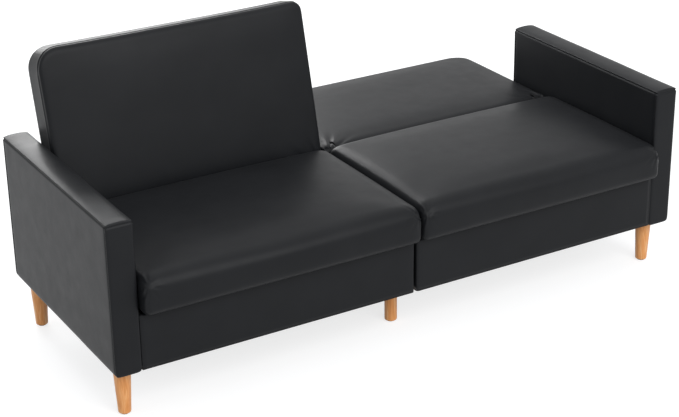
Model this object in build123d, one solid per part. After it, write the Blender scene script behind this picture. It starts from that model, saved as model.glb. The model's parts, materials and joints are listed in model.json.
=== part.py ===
"""Click-clack futon sofa bed with a split backrest.

Millimetres, Z up. The sofa stands on z = 0 and faces -Y. X = 0 is the middle
of its width and Y = 0 the middle of its depth with a backrest folded flat.
Every piece is made for the right half with its backrest flat. The left half
is its mirror image, with the backrest turned up about the hinge line.
"""
from build123d import *
import math
import os

# Overall
overall_width = 1850.0
leg_height = 143.0  # floor to the underside of the arms
seat_overhang = 42.0  # seat front ahead of the arm fronts
hinge_setback = 535.0  # arm fronts back to the hinge line
back_reach = 475.0  # hinge line to the top of a backrest
fold_angle = 76.0  # from flat to upright
fit = 0.3  # between pieces that are laid together
bolt_clearance = 0.2  # round a bolt in its hole

# Arms
arm_width = 76.0
arm_depth = 720.0
arm_height = 441.0
arm_padding = 6.0
arm_crown = 6.0
arm_edge_radius = 12.0
arm_end_radius = 10.0
arm_panel = 3.0
arm_rail = 40.0
arm_mid_rail_height = 70.0  # above the arm's underside

# Base boxes
base_rise = 5.0  # base underside above the arms' underside
base_gap = 12.0
base_inset = 1.0  # base front behind the arm fronts
base_depth = 700.0
base_front_height = 160.0
base_side_height = 145.0
base_cover = 3.0
base_corner_radius = 8.0
base_trim_radius = 0.1  # corners that are trimmed off against the arm
board = 20.0
bearer_width = 25.0
bearer_height = 60.0
bearer_front_setback = 60.0  # behind the arm fronts
bearer_rear_inset = 73.0  # ahead of the seat rear
dust_cover = 1.5
dust_cover_inset = 36.0

# Seats
seat_rise = 172.0  # seat underside above the arms' underside
seat_thickness = 116.0
seat_arm_gap = 4.0
cushion_gap = 6.0  # between the two halves
seat_hinge_gap = 42.0  # seat rear to the hinge line
seat_crown = 9.0
seat_side_fall = 4.0  # the top falls towards its shoulders
seat_shoulder_width = 46.0
seat_end_drop = 26.0
seat_front_pull = 6.0
seat_front_bow = 3.0
seat_end_radius = 14.0
seat_front_top_radius = 42.0
seat_front_low_radius = 22.0
seat_rear_top_radius = 22.0
seat_rear_low_radius = 20.0
cover = 3.0  # faux leather on its wadding
end_turns = (0, 40, 70, 90)  # degrees, one for each section of a rounded end
seat_top_shares = (0, 0.35, 0.7)  # sections of the way out to a shoulder
shoulder_turns = (90, 65, 42, 20, 0)  # degrees, one for each section of a shoulder

# Seat frame and springs
rail_height = 35.0
rail_width = 22.0
spring_wire = 4.0
spring_count = 4
spring_rows = 12
spring_run = 26.0  # straight part of each row
spring_room = 8.0  # between the seat rails and the foam
clip_length = 24.0
clip_width = 16.0
clip_wall = 1.2

# Backrests
back_arm_gap = 10.0
back_below_hinge = 39.0
back_front = 24.0  # front seam ahead of the hinge line
back_boxing = 98.0
back_crown = 17.0
back_end_crown = 9.0
back_top_bow = 3.0
back_draw = 3.0  # the top edge draws in between its corners
back_shoulder_width = 90.0
back_heel_radius = 45.0
back_rear_heel_radius = 30.0
back_seam_radius = 10.0
back_outer_corner = 65.0
back_inner_corner = 28.0
back_low_corner = 20.0
back_plan_margin = 20.0  # plan outline above and below the cushion
back_frame_depth = 34.0
back_frame_inset = 14.0  # frame ahead of the rear cover
back_frame_margin = 26.0  # frame inside the cushion's top
webbing_width = 50.0
webbing_thickness = 2.0
webbing_count = 5

# Click-clack hinges
hinge_rise = 68.0  # hinge line above the seat underside
hinge_inset = 40.0  # hinge plane in from the backrest's end
seat_arm_thickness = 5.0
back_arm_thickness = 4.0
hinge_play = 0.3  # between the two arms
ratchet_radius = 24.0
ratchet_depth = 4.0
ratchet_pitch = 17.5  # degrees
ratchet_stops = 3
pawl_lift = 0.5
pawl_nose = 2.5
pawl_eye = 7.0
pawl_reach = 50.0
pawl_drop = 14.0
rivet_radius = 3.0
pin_radius = 6.0
pin_play = 0.05
pin_head_radius = 10.0
pin_head = 3.0
strap_width = 30.0
seat_strap_straight = 55.0
seat_strap_slope = 50.0
seat_strap_length = 215.0
back_strap_length = 200.0
back_strap_first_turn = 42.0  # along the backrest from the hinge line
back_strap_second_turn = 66.0
screw_radius = 2.5
screw_head_radius = 4.5
screw_head = 2.0
screw_length = 16.0
screw_spacing = 50.0
screw_count = 3  # in each hinge arm

# Legs and bolts
leg_inset_side = 43.0
leg_inset_front = 65.0
leg_inset_rear = 65.0
leg_top_radius = 25.0
leg_foot_radius = 17.5
leg_foot_round = 3.0
centre_leg_radius = 18.5
centre_leg_front = 135.0
centre_leg_rear = 600.0
glide_radius = 12.0
glide_height = 3.0
leg_plate_thickness = 3.0
leg_plate_width = 70.0
leg_plate_length = 80.0
bolt_radius = 4.0
bolt_head_radius = 8.0
bolt_head = 5.0
bolt_grip = 25.0  # thread length in wood
spacer_radius = 12.0
arm_bolt_front_setback = 110.0  # behind the arm fronts
arm_bolt_rear_inset = 90.0  # ahead of the base rear
centre_bolt_front_setback = 220.0
centre_bolt_rear_setback = 480.0

# Levels
arm_low = leg_height
arm_high = arm_low + arm_height
base_low = arm_low + base_rise
seat_low = arm_low + seat_rise
seat_high = seat_low + seat_thickness
hinge_z = seat_low + hinge_rise
rail_low = seat_low + cover + fit
rail_high = rail_low + rail_height
foam_low = rail_high + spring_room

# Depths, with Y = 0 in the middle of the folded-out depth
overall_depth = seat_overhang + hinge_setback + back_reach
seat_front = -overall_depth / 2
arm_front = seat_front + seat_overhang
hinge_y = arm_front + hinge_setback
seat_rear = hinge_y - seat_hinge_gap
arm_rear = arm_front + arm_depth
base_front = arm_front + base_inset
base_rear = arm_front + base_depth

# Widths of the right half
arm_outer = overall_width / 2
arm_inner = arm_outer - arm_width
seat_outer = arm_inner - seat_arm_gap
cushion_inner = cushion_gap / 2
back_outer = arm_inner - back_arm_gap
seat_middle = (cushion_inner + seat_outer) / 2
back_middle = (cushion_inner + back_outer) / 2
base_inner = base_gap / 2
base_outer = arm_inner - fit
hinge_x = back_outer - hinge_inset
back_low = hinge_z + back_front - back_boxing
frame_low = back_low + back_frame_inset
frame_high = frame_low + back_frame_depth
frame_middle = (frame_low + frame_high) / 2
hinge_line = Axis((0, hinge_y, hinge_z), (1, 0, 0))


def block(x, y, z):
    """Box between three pairs of low and high coordinates."""
    centre = [sum(pair) / 2 for pair in (x, y, z)]
    sides = [high - low for low, high in (x, y, z)]
    return Pos(*centre) * Box(*sides)


def rod(start, direction, radius, length):
    """Round bar from a point along a direction."""
    return Solid.make_cylinder(radius, length, Plane(start, z_dir=direction))


def group(solids):
    """Separate solids that share one node."""
    return Compound(list(solids))


def mirror_left(shape):
    """Left-hand twin of a right-hand piece."""
    return mirror(shape, about=Plane.YZ)


def swap_ends(shape):
    """Twin of a hinge piece at the other end of the same backrest."""
    return mirror(shape, about=Plane.YZ.offset(back_middle))


def stand_up(shape):
    """Turn a flat backrest piece up to the upright pose."""
    return shape.rotate(hinge_line, fold_angle)


def side_plane(x):
    """Section plane across the sofa, with Y and Z as its axes."""
    return Plane(origin=(x, 0, 0), x_dir=(0, 1, 0), z_dir=(1, 0, 0))


def front_plane(y):
    """Section plane along the sofa, with X and Z as its axes."""
    return Plane(origin=(0, y, 0), x_dir=(1, 0, 0), z_dir=(0, -1, 0))


def bowed_side(plane, start, end, bow):
    """Straight side, or one that swells outward by bow."""
    run = end - start
    middle = (start + end) / 2 + Vector(run.Y, -run.X).normalized() * bow
    points = [plane.from_local_coords(point) for point in (start, middle, end)]
    if bow == 0:
        return Edge.make_line(points[0], points[2])
    return Edge.make_three_point_arc(*points)


def round_corner(plane, start, corner, end):
    """Quarter circle that rounds a right-angled corner."""
    centre = start + end - corner
    middle = centre + (corner - centre).normalized() * (start - corner).length
    points = [plane.from_local_coords(point) for point in (start, middle, end)]
    return Edge.make_three_point_arc(*points)


def outline(plane, low, high, radii, bows):
    """Rounded box outline: corners and sides run counter-clockwise from low."""
    corners = [Vector(*low), Vector(high[0], low[1]), Vector(*high), Vector(low[0], high[1])]
    steps = [Vector(1, 0), Vector(0, 1), Vector(-1, 0), Vector(0, -1)]
    edges = []
    for side in range(4):
        after = (side + 1) % 4
        start = corners[side] + steps[side] * radii[side]
        end = corners[after] - steps[side] * radii[after]
        turn = corners[after] + steps[after] * radii[after]
        edges.append(bowed_side(plane, start, end, bows[side]))
        edges.append(round_corner(plane, end, corners[after], turn))
    return Wire(edges)


def prism(wire, direction):
    """Solid made by sweeping a flat outline along a straight line."""
    return Solid.extrude(Face(wire), Vector(*direction))


def strap(points, width, x_low, thickness):
    """Flat bar of constant width along points in a side plane."""
    bar = None
    for start, end in zip(points, points[1:]):
        run = Vector(*end) - Vector(*start)
        centre = (Vector(*start) + Vector(*end)) / 2
        turn = math.degrees(math.atan2(run.Y, run.X))
        slot = Pos(centre.X, centre.Y) * Rot(0, 0, turn) * SlotCenterToCenter(run.length, width)
        bar = slot if bar is None else bar + slot
    return extrude(side_plane(x_low) * bar, amount=thickness)


def cross_rod(y, z, radius, x_low, x_high):
    """Round bar along X."""
    return rod((x_low, y, z), (1, 0, 0), radius, x_high - x_low)


# Cushion forms


def end_steps(radius):
    """Inset and distance to the end for each section of a rounded end."""
    turns = [math.radians(turn) for turn in end_turns]
    return [(radius - radius * math.cos(turn), radius - radius * math.sin(turn)) for turn in turns]


def seat_section(offset, inset, drop, pull):
    """Outline across a seat at an offset from its middle."""
    radii = [
        radius - inset
        for radius in (
            seat_front_low_radius,
            seat_rear_low_radius,
            seat_rear_top_radius,
            seat_front_top_radius,
        )
    ]
    low = (seat_front + seat_front_bow + pull + inset, seat_low + inset)
    high = (seat_rear - inset, seat_high - drop - inset)
    bows = (0, 0, seat_crown, seat_front_bow)
    return outline(side_plane(seat_middle + offset), low, high, radii, bows)


def seat_stations():
    """Distance from a seat's middle, drop of its top and pull of its front, to one end."""
    half = (seat_outer - cushion_inner) / 2
    shoulder = half - seat_shoulder_width
    stations = []
    for share in seat_top_shares:
        stations.append((shoulder * share, seat_side_fall * share**2, 0))
    for turn in shoulder_turns:
        angle = math.radians(turn)
        reach = shoulder + (seat_shoulder_width - seat_end_radius) * math.cos(angle)
        sink = 1 - math.sin(angle)
        drop = seat_side_fall + (seat_end_drop - seat_side_fall) * sink
        stations.append((reach, drop, seat_front_pull * sink))
    return stations


def seat_form(inset):
    """Crowned seat cushion with drawn-in ends, inset evenly from its skin."""
    half = (seat_outer - cushion_inner) / 2 - inset
    steps = [(reach, inset, drop, pull) for reach, drop, pull in seat_stations()]
    for pull_in, to_end in end_steps(seat_end_radius - inset)[1:]:
        steps.append((half - to_end, inset + pull_in, seat_end_drop, seat_front_pull))
    left = [seat_section(-reach, *shape) for reach, *shape in reversed(steps)]
    right = [seat_section(reach, *shape) for reach, *shape in steps[1:]]
    return Solid.make_loft(left + right, ruled=True)


def back_plan(inset):
    """Upright prism with a backrest's outline as seen from its front."""
    radii = [
        radius - inset
        for radius in (
            back_low_corner,
            back_low_corner,
            back_outer_corner,
            back_inner_corner,
        )
    ]
    plan = outline(
        Plane.XY.offset(back_low - back_plan_margin),
        (cushion_inner + inset, hinge_y - back_below_hinge + inset),
        (back_outer - inset, hinge_y + back_reach - inset),
        radii,
        (0, 0, 0, 0),
    )
    return prism(plan, (0, 0, back_boxing + back_crown + 2 * back_plan_margin))


def back_form(inset):
    """Crowned backrest cushion, lying flat, inset evenly from its skin."""
    half = (back_outer - cushion_inner) / 2 - inset
    stations = (
        (-half, back_end_crown, 0),
        (-half + back_shoulder_width, back_crown, back_draw / 2),
        (0, back_crown, back_draw),
        (half - back_shoulder_width, back_crown, back_draw / 2),
        (half, back_end_crown, 0),
    )
    radii = [
        radius - inset
        for radius in (
            back_rear_heel_radius,
            back_seam_radius,
            back_seam_radius,
            back_heel_radius,
        )
    ]
    near = hinge_y - back_below_hinge + inset
    far = hinge_y + back_reach - back_top_bow - inset
    sections = []
    for offset, crown, draw in stations:
        low = (near, back_low + inset)
        high = (far - draw, hinge_z + back_front - inset)
        bows = (0, back_top_bow, crown, 0)
        sections.append(outline(side_plane(back_middle + offset), low, high, radii, bows))
    return Solid.make_loft(sections) & back_plan(inset)


# Arms


def arm_section(y, inset):
    """Outline across an arm, with its crowned top."""
    low = (arm_inner + inset, arm_low + inset)
    high = (arm_outer - inset, arm_high - arm_crown - inset)
    radius = arm_edge_radius - inset
    return outline(front_plane(y), low, high, [radius] * 4, (0, 0, arm_crown, 0))


def arm_form(inset):
    """Box arm with a crowned top and rounded ends, inset evenly from its skin."""
    end_radius = arm_end_radius - inset
    steps = [(inset + pull_in, inset + to_end) for pull_in, to_end in end_steps(end_radius)]
    front = [arm_section(arm_front + to_end, pull_in) for pull_in, to_end in reversed(steps)]
    rear = [arm_section(arm_rear - to_end, pull_in) for pull_in, to_end in steps]
    return Solid.make_loft(front + rear, ruled=True)


def arm_bolt_places():
    """Y and Z of the bolts that hold an arm to its base box."""
    z = arm_low + arm_mid_rail_height
    front = arm_front + arm_bolt_front_setback
    rear = base_rear - arm_bolt_rear_inset
    return [(front, z), ((front + rear) / 2, z), (rear, z)]


def corner_leg_places():
    """X and Y of the right-hand corner legs."""
    x = arm_outer - leg_inset_side
    return [(x, arm_front + leg_inset_front), (x, arm_rear - leg_inset_rear)]


def arm_holes():
    """Bolt holes through an arm's inner side and underside."""
    radius = bolt_radius + bolt_clearance
    depth = arm_padding + arm_panel + 2 * fit + bolt_grip
    holes = [cross_rod(y, z, radius, arm_inner - fit, arm_inner + depth) for y, z in arm_bolt_places()]
    for x, y in corner_leg_places():
        holes.append(rod((x, y, arm_low - fit), (0, 0, 1), radius, arm_padding + bolt_grip + 2 * fit))
    return holes


def make_arm_cover():
    """Padded faux-leather shell of an arm."""
    return arm_form(0) - arm_form(arm_padding) - arm_holes()


def make_arm_frame():
    """Rails, posts and hardboard panels inside an arm, as separate boards."""
    x_low = arm_inner + arm_padding + fit
    x_high = arm_outer - arm_padding - fit
    y_low = arm_front + arm_padding + fit
    y_high = arm_rear - arm_padding - fit
    z_low = arm_low + arm_padding + fit
    z_high = arm_high - arm_crown - arm_padding - fit
    x_rail = (x_low + arm_panel, x_high - arm_panel)
    y_inside = (y_low + arm_rail, y_high - arm_rail)
    mid = arm_low + arm_mid_rail_height
    boards = [
        block(x_rail, (y_low, y_high), (z_low, z_low + arm_rail / 2)),
        block(x_rail, (y_low, y_high), (z_high - arm_rail / 2, z_high)),
        block(x_rail, (y_low, y_low + arm_rail), (z_low + arm_rail / 2, z_high - arm_rail / 2)),
        block(x_rail, (y_high - arm_rail, y_high), (z_low + arm_rail / 2, z_high - arm_rail / 2)),
        block(x_rail, y_inside, (mid - arm_rail / 2, mid + arm_rail / 2)),
        block((x_low, x_low + arm_panel), (y_low, y_high), (z_low, z_high)),
        block((x_high - arm_panel, x_high), (y_low, y_high), (z_low, z_high)),
    ]
    softened = arm_form(arm_padding + fit)
    return group((board_solid & softened) - arm_holes() for board_solid in boards)


# Base boxes


def bearer_places():
    """Low and high Y of the boards that carry a seat."""
    front = arm_front + bearer_front_setback
    rear = seat_rear - bearer_rear_inset
    return [(front, front + bearer_width), (rear, rear + bearer_width)]


def seat_rail_places():
    """Low and high X of the two side rails of a seat frame."""
    high = hinge_x - hinge_play / 2 - seat_arm_thickness
    return [(high - rail_width, high), (2 * back_middle - high, 2 * back_middle - high + rail_width)]


def seat_bolt_places():
    """X and Y of the bolts that hold a seat to its base box."""
    return [(sum(rail) / 2, sum(bearer) / 2) for rail in seat_rail_places() for bearer in bearer_places()]


def seat_bolt_holes():
    """Holes up through the bearers and cover into the seat frame."""
    low = seat_low - bearer_height - fit
    height = bearer_height + cover + 2 * fit + bolt_grip
    return [rod((x, y, low), (0, 0, 1), bolt_radius + bolt_clearance, height) for x, y in seat_bolt_places()]


def centre_bolt_places():
    """Y and Z of the bolts that join the two base boxes."""
    z = base_low + base_side_height / 2
    setbacks = (centre_bolt_front_setback, centre_bolt_rear_setback)
    return [(arm_front + setback, z) for setback in setbacks]


def base_holes():
    """Bolt holes through the side boards and the base cover."""
    radius = bolt_radius + bolt_clearance
    holes = []
    for y, z in arm_bolt_places():
        holes.append(cross_rod(y, z, radius, base_outer - board - fit, base_outer + fit))
    for y, z in centre_bolt_places():
        holes.append(cross_rod(y, z, radius, base_inner - fit, base_inner + base_cover + board + fit))
    return holes


def make_base_frame():
    """Front, rear and side boards and the seat bearers of one base box."""
    x = (base_inner + base_cover, base_outer)
    y = (base_front + base_cover, base_rear - base_cover)
    z_side = (base_low, base_low + base_side_height)
    inside_x = (x[0] + board, x[1] - board)
    inside_y = (y[0] + board, y[1] - board)
    boards = [
        block(x, (y[0], inside_y[0]), (base_low, base_low + base_front_height - base_cover)),
        block(x, (inside_y[1], y[1]), z_side),
        block((x[0], inside_x[0]), inside_y, z_side),
        block((inside_x[1], x[1]), inside_y, z_side),
    ]
    for bearer in bearer_places():
        boards.append(block(inside_x, bearer, (seat_low - bearer_height, seat_low)))
    holes = base_holes() + seat_bolt_holes()
    return group(board_solid - holes for board_solid in boards)


def make_base_cover():
    """Faux leather round the front, middle and rear of one base box."""
    z = base_low
    height = base_front_height
    far = base_outer + base_corner_radius
    radii = (base_corner_radius, base_trim_radius, base_trim_radius, base_corner_radius)
    skin = outline(Plane.XY.offset(z), (base_inner, base_front), (far, base_rear), radii, (0, 0, 0, 0))
    inside_x = (base_inner + base_cover, far + fit)
    inside_y = (base_front + base_cover, base_rear - base_cover)
    lip = base_front + base_cover + board
    wrap = prism(skin, (0, 0, height))
    wrap -= block(inside_x, inside_y, (z - fit, z + height - base_cover))
    wrap -= block((0, far + fit), (lip, base_rear + fit), (z + base_side_height, z + height + fit))
    wrap -= block((base_outer, far + fit), (base_front - fit, base_rear + fit), (z - fit, z + height + fit))
    return wrap - base_holes()


def make_dust_cover():
    """Cloth under one base box."""
    inset = base_cover + fit
    x = (base_inner + dust_cover_inset, base_outer)
    y = (base_front + inset, base_rear - inset)
    return block(x, y, (base_low - dust_cover, base_low))


# Seats


def hinge_slot(wide, y, z):
    """Room for both hinge seat arms in one half, over a range of Y and Z."""
    play = hinge_play + wide
    x = (hinge_x - hinge_play / 2 - seat_arm_thickness - play, hinge_x - hinge_play / 2 + play)
    room = block(x, y, z)
    return [room, swap_ends(room)]


def seat_slots():
    """Slots through the rear of a seat for its hinge arms."""
    y = (hinge_y - seat_strap_length - strap_width, seat_rear + fit)
    return hinge_slot(0, y, (rail_low, hinge_z + strap_width / 2 + fit))


def make_seat_cover():
    """Faux-leather cover of one seat cushion."""
    return seat_form(0) - seat_form(cover) - seat_slots() - seat_bolt_holes()


def seat_frame_space():
    """Low and high X, Y and Z of the timber frame in one seat."""
    inner_rail, outer_rail = sorted(seat_rail_places())
    x = (inner_rail[0], outer_rail[1])
    front = seat_front + seat_front_bow + seat_front_pull + seat_front_low_radius
    y = (front, seat_rear - seat_rear_low_radius)
    return x, y, (rail_low, rail_high)


def make_seat_foam():
    """Foam block over the springs, wrapped down round the frame."""
    x, y = seat_frame_space()[:2]
    room = block(
        (x[0] - fit, x[1] + fit),
        (y[0] - fit, y[1] + fit),
        (seat_low, foam_low),
    )
    slots = hinge_slot(fit, (y[0], seat_rear), (rail_low, hinge_z + strap_width / 2 + 2 * fit))
    return seat_form(cover + fit) - room - slots - hinge_screw_room()


def make_seat_frame():
    """Timber rails of one seat."""
    x, y, z = seat_frame_space()
    inside = (y[0] + rail_width, y[1] - rail_width)
    boards = [block(x, (y[0], inside[0]), z), block(x, (inside[1], y[1]), z)]
    for rail in seat_rail_places():
        boards.append(block(rail, inside, z))
    holes = seat_bolt_holes() + hinge_screw_holes()
    return group(board_solid - holes for board_solid in boards)


def spring_places():
    """X of each sinuous spring across one seat frame."""
    x = seat_frame_space()[0]
    step = (x[1] - x[0] - 2 * rail_width) / spring_count
    return [x[0] + rail_width + step * (number + 0.5) for number in range(spring_count)]


def spring_ends():
    """First and last row of a sinuous spring, over the front and rear rails."""
    y = seat_frame_space()[1]
    return y[0] + rail_width / 2, y[1] - rail_width / 2


def spring_level():
    """Height of the spring wire's middle: it lies on the rails."""
    return rail_high + clip_wall + spring_wire / 2


def sinuous_spring(x):
    """One zigzag spring: straight rows joined by half turns."""
    first, last = spring_ends()
    pitch = (last - first) / (spring_rows - 1)
    z = spring_level()
    edges = []
    for row in range(spring_rows):
        y = first + pitch * row
        way = 1 if row % 2 == 0 else -1
        start = Vector(x - way * spring_run / 2, y, z)
        end = Vector(x + way * spring_run / 2, y, z)
        edges.append(Edge.make_line(start, end))
        if row < spring_rows - 1:
            turn = Vector(end.X + way * pitch / 2, y + pitch / 2, z)
            edges.append(Edge.make_three_point_arc(end, turn, Vector(end.X, y + pitch, z)))
    path = Wire(edges)
    section = Plane(path @ 0, z_dir=path % 0) * Circle(spring_wire / 2)
    return sweep(section, path=path)


def make_springs():
    """All sinuous springs of one seat."""
    return group(sinuous_spring(x) for x in spring_places())


def make_spring_clips():
    """Clips that hold the spring ends on the front and rear rails."""
    z = spring_level()
    room = spring_wire / 2 + fit
    clips = []
    for x in spring_places():
        for y in spring_ends():
            clip = block(
                (x - clip_length / 2, x + clip_length / 2),
                (y - clip_width / 2, y + clip_width / 2),
                (rail_high, z + room + clip_wall),
            )
            bore = cross_rod(y, z, room, x - clip_length, x + clip_length)
            clips.append(clip - bore)
    return clips


# Backrests


def back_slots():
    """Slots through a backrest's heel for the hinge seat arms."""
    y = (hinge_y - back_below_hinge - fit, hinge_y + ratchet_radius + fit)
    z = (hinge_z - ratchet_radius - fit, hinge_z + back_front + back_crown)
    return hinge_slot(0, y, z)


def make_back_cover():
    """Faux-leather cover of one backrest."""
    return back_form(0) - back_form(cover) - back_slots()


def back_frame_space():
    """Low and high X, Y and Z of the timber frame in one backrest."""
    stile = hinge_x + hinge_play / 2 + back_arm_thickness
    x = (2 * back_middle - stile - rail_width, stile + rail_width)
    y = (hinge_y - back_below_hinge / 2, hinge_y + back_reach - back_frame_margin)
    return x, y, (frame_low, frame_high)


def back_boards():
    """Plain boards of one backrest frame: two stiles and three rails."""
    x, y, z = back_frame_space()
    inside = (x[0] + rail_width, x[1] - rail_width)
    middle = sum(y) / 2
    boards = [block((x[0], inside[0]), y, z), block((inside[1], x[1]), y, z)]
    rails = (
        (y[0], y[0] + rail_height),
        (middle - rail_height / 2, middle + rail_height / 2),
        (y[1] - rail_height, y[1]),
    )
    arms = hinge_clear_strips()
    for rail in rails:
        boards.append(block(arms, rail, z))
    return boards


def hinge_clear_strips():
    """Low and high X of the rails, which stop short of the hinge back arms."""
    x = back_frame_space()[0]
    gap = rail_width + back_arm_thickness + screw_head + fit
    return x[0] + gap, x[1] - gap


def make_back_frame():
    """Timber frame of one backrest, as separate boards."""
    rounded = back_plan(cover + 2 * fit)
    return group((board_solid & rounded) - back_screw_holes() for board_solid in back_boards())


def make_webbing():
    """Elastic straps stapled up the front of a backrest frame."""
    y, z = back_frame_space()[1:]
    low, high = hinge_clear_strips()
    step = (high - low) / webbing_count
    straps = []
    for number in range(webbing_count):
        middle = low + step * (number + 0.5)
        sides = (middle - webbing_width / 2, middle + webbing_width / 2)
        straps.append(block(sides, y, (z[1], z[1] + webbing_thickness)))
    return group(straps)


def make_back_foam():
    """Foam of one backrest, cut round its frame, webbing and hinges."""
    x, y, z = back_frame_space()
    room = block(
        (x[0] - fit, x[1] + fit),
        (y[0] - fit, y[1] + fit),
        (z[0] - fit, z[1] + webbing_thickness + fit),
    )
    pocket_x = (hinge_x - hinge_play - seat_arm_thickness - pin_head - fit, x[1])
    pocket = block(
        pocket_x,
        (y[0], hinge_y + back_strap_second_turn + strap_width / 2),
        (z[0], hinge_z + ratchet_radius - fit),
    )
    slots = back_slots()
    return back_form(cover + fit) - room - slots - [pocket, swap_ends(pocket)]


# Click-clack hinges


def seat_strap_points():
    """Middle line of a hinge seat arm, from the hinge line to the seat rail."""
    rail_middle = (rail_low + rail_high) / 2
    knee = hinge_y - seat_strap_straight
    return [
        (hinge_y, hinge_z),
        (knee, hinge_z),
        (knee - seat_strap_slope, rail_middle),
        (hinge_y - seat_strap_length, rail_middle),
    ]


def make_hinge_seat_arm():
    """Flat arm with a ratchet head; its notches hold the backrest's stops."""
    x_low = hinge_x - hinge_play / 2 - seat_arm_thickness
    arm = strap(seat_strap_points(), strap_width, x_low, seat_arm_thickness)
    arm += cross_rod(hinge_y, hinge_z, ratchet_radius, x_low, x_low + seat_arm_thickness)
    root = ratchet_radius - ratchet_depth
    rim = ratchet_radius + ratchet_depth
    pitch = math.radians(ratchet_pitch)
    flank = (rim * math.cos(pitch), -rim * math.sin(pitch))
    tooth = Polygon((root, 0), (rim, 0), flank, align=None)
    for stop in range(ratchet_stops):
        turn = fold_angle - stop * ratchet_pitch + ratchet_pitch / 2
        notch = Pos(hinge_y, hinge_z) * Rot(0, 0, turn) * tooth
        arm -= extrude(side_plane(x_low) * notch, amount=seat_arm_thickness)
    arm -= cross_rod(hinge_y, hinge_z, pin_radius + pin_play, x_low, x_low + seat_arm_thickness)
    for y, z in seat_screw_places():
        arm -= cross_rod(y, z, screw_radius + bolt_clearance, x_low, x_low + seat_arm_thickness)
    return arm


def back_strap_points():
    """Middle line of a hinge back arm, from the hinge line up the stile."""
    return [
        (hinge_y, hinge_z),
        (hinge_y + back_strap_first_turn, (hinge_z + frame_middle) / 2),
        (hinge_y + back_strap_second_turn, frame_middle),
        (hinge_y + back_strap_length, frame_middle),
    ]


def make_hinge_back_arm():
    """Flat arm on the backrest's stile that turns on the pivot pin."""
    x_low = hinge_x + hinge_play / 2
    arm = strap(back_strap_points(), strap_width, x_low, back_arm_thickness)
    x_high = x_low + back_arm_thickness
    arm -= cross_rod(hinge_y, hinge_z, pin_radius + pin_play, x_low, x_high)
    arm -= cross_rod(*pawl_pivot(), rivet_radius + pin_play, x_low, x_high)
    for y, z in back_screw_places():
        arm -= cross_rod(y, z, screw_radius + bolt_clearance, x_low, x_high)
    return arm


def pawl_pivot():
    """Y and Z of the pawl's rivet, on the back arm."""
    return hinge_y + pawl_reach, hinge_z - pawl_drop


def make_hinge_pawl():
    """Pawl drawn just lifted off the ratchet head, with its rivet."""
    x_low = hinge_x - hinge_play / 2 - seat_arm_thickness
    y, z = pawl_pivot()
    nose_y = hinge_y + ratchet_radius + pawl_lift + pawl_nose
    eye = Pos(y, z) * Circle(pawl_eye)
    nose = Pos(nose_y, hinge_z) * Circle(pawl_nose)
    body = make_hull(eye.edges() + nose.edges())
    pawl = extrude(side_plane(x_low) * body, amount=seat_arm_thickness)
    hole = cross_rod(y, z, rivet_radius, x_low, x_low + seat_arm_thickness)
    x_high = hinge_x + hinge_play / 2 + back_arm_thickness
    return group([pawl - hole, cross_rod(y, z, rivet_radius, x_low, x_high)])


def make_hinge_pin():
    """Shouldered pivot pin with a head on each side of the arms."""
    x_low = hinge_x - hinge_play / 2 - seat_arm_thickness
    x_high = hinge_x + hinge_play / 2 + back_arm_thickness + hinge_play
    pin = cross_rod(hinge_y, hinge_z, pin_radius, x_low - pin_head, x_high + pin_head)
    pin += cross_rod(hinge_y, hinge_z, pin_head_radius, x_low - pin_head, x_low)
    return pin + cross_rod(hinge_y, hinge_z, pin_head_radius, x_high, x_high + pin_head)


def seat_screw_places():
    """Y and Z of the screws through a hinge seat arm into the seat rail."""
    z = (rail_low + rail_high) / 2
    first = hinge_y - seat_strap_length
    return [(first + screw_spacing * number, z) for number in range(screw_count)]


def back_screw_places():
    """Y and Z of the screws through a hinge back arm into the stile."""
    last = hinge_y + back_strap_length
    return [(last - screw_spacing * number, frame_middle) for number in range(screw_count)]


def screw(y, z, face, way):
    """Round-head screw along X: its head stands on face, its shank points way."""
    head = rod((face - way * screw_head, y, z), (way, 0, 0), screw_head_radius, screw_head)
    return head + rod((face, y, z), (way, 0, 0), screw_radius, screw_length)


def make_seat_screws():
    """Screws of both hinge seat arms in one half."""
    face = hinge_x - hinge_play / 2
    screws = [screw(y, z, face, -1) for y, z in seat_screw_places()]
    return screws + [swap_ends(solid) for solid in screws]


def make_back_screws():
    """Screws of both hinge back arms in one half."""
    face = hinge_x + hinge_play / 2
    screws = [screw(y, z, face, 1) for y, z in back_screw_places()]
    return group(screws + [swap_ends(solid) for solid in screws])


def hinge_screw_holes():
    """Pilot holes in a seat frame for the hinge screws."""
    face = hinge_x - hinge_play / 2
    radius = screw_radius + bolt_clearance
    holes = [
        cross_rod(y, z, radius, face - screw_length - fit, face) for y, z in seat_screw_places()
    ]
    return holes + [swap_ends(hole) for hole in holes]


def hinge_screw_room():
    """Room in the seat foam for the hinge screw heads."""
    face = hinge_x - hinge_play / 2
    radius = screw_head_radius + fit
    rooms = [
        cross_rod(y, z, radius, face, face + screw_head + fit) for y, z in seat_screw_places()
    ]
    return rooms + [swap_ends(room) for room in rooms]


def back_screw_holes():
    """Pilot holes in a backrest frame for the hinge screws."""
    face = hinge_x + hinge_play / 2
    radius = screw_radius + bolt_clearance
    holes = [
        cross_rod(y, z, radius, face, face + screw_length + fit) for y, z in back_screw_places()
    ]
    return holes + [swap_ends(hole) for hole in holes]


# Legs and bolts


def corner_leg(x, y):
    """Tapered turned leg with a rounded foot."""
    foot = glide_height
    profile = Polyline(
        (0, foot),
        (leg_foot_radius, foot),
        (leg_top_radius, arm_low),
        (0, arm_low),
        close=True,
    )
    leg = revolve(Plane.XZ * make_face(profile), Axis.Z)
    rim = leg.edges().filter_by(GeomType.CIRCLE).sort_by(Axis.Z)[0]
    leg = Pos(x, y) * fillet(rim, leg_foot_round)
    return leg - leg_bolt_hole(x, y, arm_low)


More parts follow.
